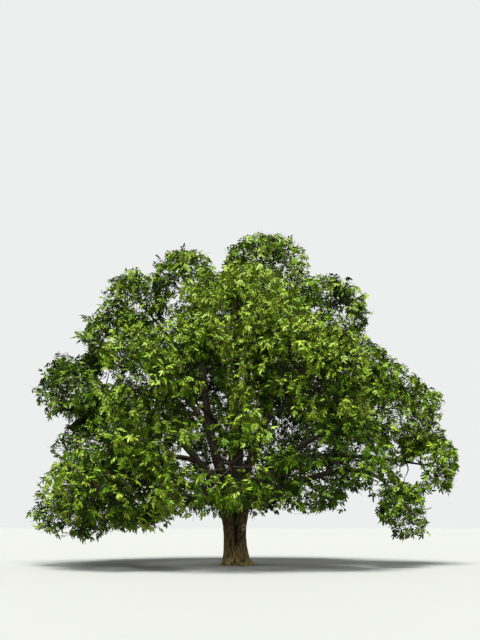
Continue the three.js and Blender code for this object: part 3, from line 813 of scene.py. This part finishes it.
def bough_placer(line, radii):
    """A function that places a shell's corners round a bough's line, and the line's length."""
    along = unit(np.gradient(line, axis=0))
    side = unit(np.cross(along, unit(np.cross(line[-1] - line[0], UP))))
    other = np.cross(along, side)
    shares = np.linspace(0, 1, len(line))
    length = np.linalg.norm(np.diff(line, axis=0), axis=1).sum()

    def place(azimuth, share):
        radius = np.interp(share, shares, radii)
        ring = np.cos(azimuth)[:, None] * read_off(share, shares, side)
        ring += np.sin(azimuth)[:, None] * read_off(share, shares, other)
        flat = np.stack([np.cos(azimuth), np.sin(azimuth), 0 * share], axis=1)
        on_shell = flat * radius[:, None] + UP * (share * length)[:, None] + line[-1]
        relief = fissures(on_shell, BOUGH_RELIEF["width"], BOUGH_RELIEF["length"])
        out = radius * (1 + BOUGH_RELIEF["depth"] * (relief - BOUGH_RELIEF["level"]))
        return read_off(share, shares, line) + ring * out[:, None], relief, 0 * relief

    return place, length


LEAF = {
    "length": 0.44,  # of the whole compound leaf
    "fixed": 0.75,  # the share of it that a leaf with fewer pairs keeps
    "stalk": 0.34,  # the bare stretch of it, as a share
    "first_pair": 0.1, "last_pair": 0.94,  # further on than that, and where the last pair is
    "leaflet": 0.165, "width": 0.059, "end_from": 0.95,  # how far before the end the last leaflet starts
    "crease": 0.3, "hang": 0.1, "fullness": 0.85,
    "rachis": 0.007,  # drawn twice as wide as it is, to show
    "sizes": [0.82, 0.95, 1.0], "end_size": 1.12,
    "angles": [66, 56, 46], "scatter": 7,  # of the pairs from the rachis
    "roll": 44, "dip": [0, 50],  # how a leaflet is turned on its own stalk, and how far it hangs
}
LEAF_KINDS = [(3, 0.15), (3, 0.35), (2, 0.25), (3, 0.55), (2, 0.45), (3, 0.3)]  # pairs of leaflets, and bend
HEXAGON = 0.433  # half the width across the sides of one with a radius of 0.5


def leaflet(length, width):
    """One leaflet along +Y from the origin: a pointed oval of six corners, creased along its midrib."""
    shape = bmesh.new()
    bmesh.ops.create_circle(shape, cap_ends=True, segments=6, radius=0.5)
    bmesh.ops.translate(shape, verts=shape.verts, vec=(0, 0.5, 0))
    base = min(shape.verts, key=lambda corner: corner.co.y)
    tip = max(shape.verts, key=lambda corner: corner.co.y)
    bmesh.ops.connect_verts(shape, verts=[base, tip])
    for corner in shape.verts:
        corner.co.z = LEAF["crease"] * abs(corner.co.x) - LEAF["hang"] * corner.co.y**2 * length / width
        if corner not in (base, tip):
            corner.co.y = 0.5 + (corner.co.y - 0.5) * LEAF["fullness"]
    bmesh.ops.scale(shape, verts=shape.verts, vec=(width / (2 * HEXAGON), length, width))
    return shape


def leaf_shape(pairs, bend, random):
    """A compound leaf along +Y from the origin: pairs of leaflets and one at the end of a bending rachis."""
    shape = bmesh.new()
    length = LEAF["length"] * (LEAF["fixed"] + (1 - LEAF["fixed"]) * pairs / len(LEAF["angles"]))
    end = length - LEAF["leaflet"] * LEAF["end_from"]
    bmesh.ops.create_grid(shape, x_segments=1, y_segments=1, size=0.5)
    bmesh.ops.translate(shape, verts=shape.verts, vec=(0, 0.5, 0))
    bmesh.ops.scale(shape, verts=shape.verts, vec=(LEAF["rachis"], end, 1))
    stations = np.linspace(LEAF["stalk"] + LEAF["first_pair"], LEAF["last_pair"], pairs)
    places = [(end * at, side * angle, size)
              for at, angle, size in zip(stations, LEAF["angles"][-pairs:], LEAF["sizes"][-pairs:])
              for side in (-1, 1)]
    for at, angle, size in [*places, (end, 0, LEAF["end_size"])]:
        one = leaflet(LEAF["leaflet"] * size, LEAF["width"] * size)
        roll = Matrix.Rotation(math.radians(random.normal(0, LEAF["roll"])), 3, "Y")
        dip = Matrix.Rotation(-math.radians(random.uniform(*LEAF["dip"])), 3, "X")
        turn = Matrix.Rotation(math.radians(angle + random.normal(0, LEAF["scatter"])), 3, "Z")
        bmesh.ops.rotate(one, verts=one.verts, cent=(0, 0, 0), matrix=turn @ dip @ roll)
        bmesh.ops.translate(one, verts=one.verts, vec=(0, at, 0))
        copy = bpy.data.meshes.new("one leaflet")
        one.to_mesh(copy)
        one.free()
        shape.from_mesh(copy)
        bpy.data.meshes.remove(copy)
    for corner in shape.verts:
        corner.co.z -= bend * (corner.co.y / length) ** 2 * length
    shape.verts.index_update()
    corners = np.array([corner.co[:] for corner in shape.verts])
    faces = np.array([[corner.index for corner in face.verts] for face in shape.faces])
    shape.free()
    return corners, faces


LEAF_SHAPES = [leaf_shape(*kind, np.random.default_rng(seed)) for seed, kind in enumerate(LEAF_KINDS)]


def stem_line(mass):
    start, direction = entry_of(mass)
    end = CENTRE[mass] + direction * RADIUS[mass] * STEM_END
    return even_line(np.array([start, CENTRE[mass], end]), STEM["steps"])


def reach_out(form, base, along, end, last):
    """The control points of curves that leave their bases along other lines and come to their ends with their
    last headings."""
    length = np.linalg.norm(end - base, axis=-1, keepdims=True)
    lead = unit(along * form["follow"] + unit(end - base) + UP * form["lift"])
    leaving, arriving = base + lead * length * form["lead"], end - last * length * form["arrive"]
    return np.stack([base, leaving, arriving, end], axis=-2)


def sway_of(lines, form, random):
    """Small random shifts of the places of some lines between their ends."""
    sway = random.normal(size=lines.shape) * form["sway"]
    sway[:, [0, -1]] = 0
    return sway


def dealt_out(parents, counts, random):
    """The parent of each new one, when each parent gets from the first to the second count of them, and the
    number of each on its parent."""
    owner = np.repeat(np.arange(parents), random.integers(counts[0], counts[1] + 1, parents))
    return owner, np.arange(len(owner)) - np.searchsorted(owner, owner)


def whorl(axis, aside, number, start):
    """Headings square to an axis, each turned by the golden angle from the one before it."""
    side = unit(np.cross(axis, aside))
    other = np.cross(axis, side)
    turn = (number * GOLDEN + start)[:, None]
    return np.cos(turn) * side + np.sin(turn) * other


def grow_branches(mass, stem, random):
    """The branches that leave a mass's stem, aimed evenly over it."""
    turn = random.random() * math.pi
    aims = even_directions(BRANCH["count"])
    turning = np.array([[math.cos(turn), -math.sin(turn), 0], [math.sin(turn), math.cos(turn), 0], [0, 0, 1]])
    aims = unit(aims @ turning.T + BRANCH["scatter"] * (random.random(aims.shape) - 0.5))
    direction = entry_of(mass)[1]
    curves = []
    for aim in aims:
        outwards = to_edge(mass, aim)
        facing = unit(outwards)
        forward = facing @ direction
        if forward < BRANCH["backmost"]:
            continue
        ends = [CENTRE[mass] + outwards * at for at in BRANCH["at"]]
        end = next((place for place in ends if cell_room(mass, place) > BRANCH["room"]), None)
        if end is None:
            continue
        base, along = at_share(stem, BRANCH["from"] + BRANCH["stretch"] * (forward + 1) / 2)
        curves.append(reach_out(BRANCH, base, along, end, facing))
    lines = bezier(np.array(curves), np.linspace(0, 1, BRANCH["steps"]))
    return lines + sway_of(lines, BRANCH, random)


def outside_area(mass):
    """The area of a mass's ellipsoid, by Thomsen's formula."""
    a, b, c = HALF[mass]
    p = 1.6075
    return 4 * math.pi * (((a * b) ** p + (a * c) ** p + (b * c) ** p) / 3) ** (1 / p)


def branchlet_ends(mass, random):
    """Where the branchlets of a mass end, and which way each faces."""
    outer = round(outside_area(mass) / PATCH_AREA * THICKER.get(NAMES[mass], 1))
    inner = round(outer * INNER_SHARE)
    ends, facings = [], []
    for count, shares in ((outer, BRANCHLET["outer"]), (inner, BRANCHLET["inner"])):
        scatter = BRANCHLET["scatter"] / math.sqrt(count) * random.normal(size=(count, 3))
        outwards = to_edge(mass, unit(even_directions(count) + scatter))
        at = random.uniform(*shares, size=count) * lump_reach(mass, CENTRE[mass] + outwards)
        for moved in BRANCHLET["moved"]:
            place = CENTRE[mass] + outwards * (at * moved)[:, None]
            room = (moved <= 1) | (crown_share(place) < at)
            room &= cell_room(mass, place) > CELL_MARGIN + BRANCHLET["room"]
            gap = kept_open(place, random)
            # a branchlet that faces another mass is in the shade, and some of these die
            beyond = place + unit(outwards) * BRANCHLET["beyond"]
            others = [edge_share(k, beyond) for k in range(len(NAMES)) if k != mass]
            shaded = (np.array(others) < BRANCHLET["shaded"]).any(axis=0)
            lives = random.random(count) > np.where(shaded, SHADE_LOSS * (NAMES[mass] not in THICKER), 0.0)
            good = room & ~gap & lives & (at > 0)
            ends.append(place[good])
            facings.append(unit(outwards)[good])
            at = np.where(good | (room & (gap | ~lives)), 0, at)
    return np.concatenate(ends), np.concatenate(facings)


def grow_branchlets(mass, stem, branches, random):
    """The branchlets that cover a mass: their lines, and which way each faces."""
    ends, facings = branchlet_ends(mass, random)
    lines = np.concatenate([branches[:, 1:], stem[None, 1 - BRANCH["steps"] :]])
    alongs = unit(np.gradient(lines, axis=1))
    places, ways = lines.reshape(-1, 3), alongs.reshape(-1, 3)
    apart = np.linalg.norm(ends[:, None] - places, axis=-1)
    # a branchlet leaves its branch before the place nearest to its end, and runs forward
    ahead = ((ends[:, None] - places) * ways).sum(axis=-1)
    cost = apart + np.maximum(0, BRANCHLET["forward"] - ahead) * BRANCHLET["backward_cost"]
    nearest = cost.argmin(axis=1)
    last = unit(facings + UP * BRANCHLET["turn_up"])
    curves = reach_out(BRANCHLET, places[nearest], ways[nearest], ends, last)
    lines = bezier(curves, np.linspace(0, 1, BRANCHLET["steps"]))
    sway = sway_of(lines, BRANCHLET, random)
    # none of them shows bare in a gap or under the hem
    middles = lines[:, 1:-1]
    low = middles[..., 2] < foot_of(mass, middles.reshape(-1, 3)).reshape(middles.shape[:2])
    covered = ~(kept_open(middles) | low).any(axis=1)
    return (lines + sway)[covered], facings[covered]


def grow_shoots(mass, branchlets, facings, random):
    """The leafy shoots round the end of each branchlet: their lines, and the branchlet each one is on."""
    owner, number = dealt_out(len(branchlets), SHOOT["count"], random)
    at = np.where(number == 0, 1.0, random.uniform(SHOOT["from"], 1.0, len(owner)))
    step = at * (BRANCHLET["steps"] - 1)
    low = np.minimum(step.astype(int), BRANCHLET["steps"] - 2)
    part = (step - low)[:, None]
    base = branchlets[owner, low] * (1 - part) + branchlets[owner, low + 1] * part
    along = unit(branchlets[owner, low + 1] - branchlets[owner, low])
    facing = facings[owner]
    start = random.uniform(0, ROUND, len(branchlets))[owner]
    around = whorl(facing, ASIDE["branchlet"], number, start)
    spread = np.where(number == 0, SHOOT["end_spread"], random.uniform(*SHOOT["spread"], len(owner)))[:, None]
    away = unit(facing + spread * around + UP * SHOOT["lift"])
    length = random.uniform(*SHOOT["length"], len(owner))[:, None]
    lines = np.zeros((len(owner), SHOOT["steps"], 3))
    fits = np.zeros(len(owner), bool)
    bare = kept_open(base + away * length, random)
    for scale in SHOOT["cut"]:
        tip = base + away * length * scale
        inside = crown_share(tip) < PUSHED.get(NAMES[mass], 1) - SHOOT["under"] / RADIUS[mass]
        good = inside & (cell_room(mass, tip) > CELL_MARGIN)
        good &= clear_of_limbs(tip) & ~fits & ~bare & (tip[:, 2] > foot_of(mass, tip) + TWIG_LIFT)
        controls = np.stack([base, base + along * length * scale * SHOOT["lead"], tip], axis=1)
        lines[good] = bezier(controls, np.linspace(0, 1, SHOOT["steps"]))[good]
        fits |= good
    return lines[fits], owner[fits]


def grow_leaves(mass, shoots, on_branchlet, random):
    """The compound leaves round the end of each shoot: place, own axes and size, and the shoot each is on."""
    owner, number = dealt_out(len(shoots), LEAVES["count"], random)
    back = (number * LEAVES["apart"] + random.uniform(0, LEAVES["uneven"], len(owner)))[:, None]
    axis = unit(shoots[owner, -1] - shoots[owner, -2])
    base = shoots[owner, -1] - axis * back * LEAVES["crowded"]
    around = whorl(axis, ASIDE["shoot"], number, random.uniform(0, ROUND, len(shoots))[owner])
    opening = random.uniform(*LEAVES["opening"], len(owner)) + number * LEAVES["wider"]
    opening = np.radians(opening)[:, None]
    way = np.cos(opening) * axis + np.sin(opening) * around
    way = unit(way - UP * random.uniform(*LEAVES["droop"], len(owner))[:, None])
    roll = random.normal(0, LEAVES["roll"], (len(owner), 1))
    flat = unit(np.cross(way, ASIDE["leaf"]))
    right = np.cos(roll) * flat + np.sin(roll) * np.cross(flat, way)
    size = random.uniform(*LEAVES["size"], len(owner))
    end = base + (way - UP * LEAVES["sag"]) * LEAF["length"] * LEAVES["tip"] * size[:, None]
    fringe = random.uniform(*FRINGE, on_branchlet.max() + 1)[on_branchlet][owner]
    good = crown_share(end) < fringe * lump_reach(mass, end)
    good &= (cell_room(mass, end) > -LEAVES["over_plane"]) & (end[:, 2] > foot_of(mass, end))
    good &= clear_of_limbs(end) & ~kept_open(end) & (end[:, 2] < CAD_BOX[1][2] + TOP_LEAVES)
    axes = np.stack([right, way, np.cross(right, way)], axis=1) * size[:, None, None]
    return base[good], axes[good], owner[good]


def kept_only(kept, owner):
    """Those that own something, and the owners' numbers after the others are dropped."""
    owning, renumbered = np.unique(owner, return_inverse=True)
    return kept[owning], renumbered


def deal_greens(mass, depths, on_branchlet, on_shoot, random):
    """The green of each leaf, which is that of its branchlet, that of its shoot or one of its own, and the
    names of the mass's greens. Leaves inside the mass are dealt deeper greens: painted shade, and partly the
    deeper green that shade leaves have."""
    odds = np.array([DEALT[DEALT_FOR_PAINTED_LIGHT_AND_SHADE.get(NAMES[mass], TINTS[mass])], DEALT["shade"]], float)
    used = odds.any(axis=0)
    outer, inner = odds[:, used] / odds.sum(axis=1, keepdims=True)

    def draw(shaded):
        deep = random.choice(len(inner), len(shaded), p=inner)
        return np.where(shaded, deep, random.choice(len(outer), len(shaded), p=outer))

    shaded = (depths < SHADE_DEPTH) & (NAMES[mass] not in THICKER)
    of_branchlet = draw(shaded)[on_branchlet][on_shoot]
    of_shoot = draw(shaded[on_branchlet])[on_shoot]
    own = draw(shaded[on_branchlet][on_shoot])
    level = random.choice(3, len(on_shoot), p=SHARED_GREEN)
    return np.choose(level, [of_branchlet, of_shoot, own]), np.array(list(GREENS))[used]


bark = bark_material("walnut_bark_of_the_trunk", TRUNK_BARK)
# the limbs' darker bark is painted shade
limb_bark_in_painted_shade = bark_material("walnut_bark_of_the_limbs_in_painted_shade", LIMB_BARK_IN_PAINTED_SHADE)
twig_bark_and_painted_shade = twig_material()
leaf_greens = {name: leaf_material(name, colour) for name, colour in GREENS.items()}

trunk_mesh = limb_mesh("trunk_bark", TRUNK_SIDES, TRUNK_STEPS, place_trunk, bark)
place_piece("trunk_bark", trunk_mesh, ["trunk"])
for name, (line, radii) in BOUGH_LINES.items():
    placer, length = bough_placer(line, radii)
    steps = round(length / BOUGH_STEP)
    mesh = limb_mesh(f"bark_{name}", BOUGH_SIDES, steps, placer, limb_bark_in_painted_shade)
    place_piece(f"bark_{name}", mesh, [f"bough_{name}"])

for mass, name in enumerate(NAMES):
    random = np.random.default_rng(SEED + mass)
    stem = stem_line(mass)
    branches = grow_branches(mass, stem, random)
    branchlets, facings = grow_branchlets(mass, stem, branches, random)
    shoots, on_branchlet = grow_shoots(mass, branchlets, facings, random)
    base, axes, on_shoot = grow_leaves(mass, shoots, on_branchlet, random)
    # a shoot with no leaf and a branchlet with no shoot would show as bare sticks
    leafy = np.unique(on_shoot)
    shoots, on_shoot = kept_only(shoots, on_shoot)
    branchlets, on_branchlet = kept_only(branchlets, on_branchlet[leafy])
    ends = branchlets[:, -1]
    depths = edge_share(mass, ends) / lump_reach(mass, ends)
    greens, green_names = deal_greens(mass, depths, on_branchlet, on_shoot, random)

    twigs = Joined()
    for lines, form in ((stem[None], STEM), (branches, BRANCH), (branchlets, BRANCHLET), (shoots, SHOOT)):
        twigs.add(*swept(lines, form))
    place_piece(f"twigs_{name}", twigs.mesh(f"twigs_{name}", [twig_bark_and_painted_shade]), [f"foliage_{name}"])

    leaves = Joined()
    kinds = random.integers(0, len(LEAF_SHAPES), len(base))
    for kind, (corners, faces) in enumerate(LEAF_SHAPES):
        mine = kinds == kind
        placed = base[mine][:, None] + np.einsum("vc,lcd->lvd", corners, axes[mine])
        shift = np.arange(mine.sum())[:, None, None] * len(corners)
        finish = np.repeat(greens[mine], len(faces))
        leaves.add(placed.reshape(-1, 3), [(faces + shift).reshape(-1, 4)], finish)
    mesh = leaves.mesh(f"leaves_{name}", [leaf_greens[green] for green in green_names])
    place_piece(f"leaves_{name}", mesh, [f"foliage_{name}"])


def studio():
    """A plain pale floor under a plain pale room, lit softly from above and from the front."""
    world = bpy.data.worlds.new("pale_room")
    world.use_nodes = True
    background = world.node_tree.nodes["Background"]
    background.inputs["Color"].default_value = linear(LIGHT["colour"])
    background.inputs["Strength"].default_value = LIGHT["room"]
    bpy.context.scene.world = world
    ground = bmesh.new()
    bmesh.ops.create_grid(ground, x_segments=1, y_segments=1, size=FLOOR["half_size"])
    mesh = bpy.data.meshes.new("floor")
    ground.to_mesh(mesh)
    ground.free()
    floor = in_scene("floor", mesh)
    floor.location.z = -FLOOR["drop"]
    finish = {"Base Color": linear(FLOOR["colour"]), "Roughness": 0.9}
    mesh.materials.append(new_material("matt_pale_floor", finish)[0])
    lamp = bpy.data.lights.new("high_soft_light", "SUN")
    lamp.energy = LIGHT["sun"]
    lamp.angle = math.radians(LIGHT["softness"])
    sun = in_scene("high_soft_light", lamp)
    sun.rotation_euler = Vector(LIGHT["heading"]).to_track_quat("-Z", "Y").to_euler()


def camera():
    """The photograph's view: from eye height, tipped up."""
    lens = bpy.data.cameras.new("camera")
    lens.lens = 50
    lens.sensor_width = 36
    lens.clip_end = SIGHT
    view = in_scene("camera", lens)
    view.location = VIEWER
    view.rotation_euler = (math.radians(90 + VIEW_RISE), 0, 0)
    bpy.context.scene.camera = view


studio()
camera()
bpy.context.scene.view_settings.view_transform = "Standard"
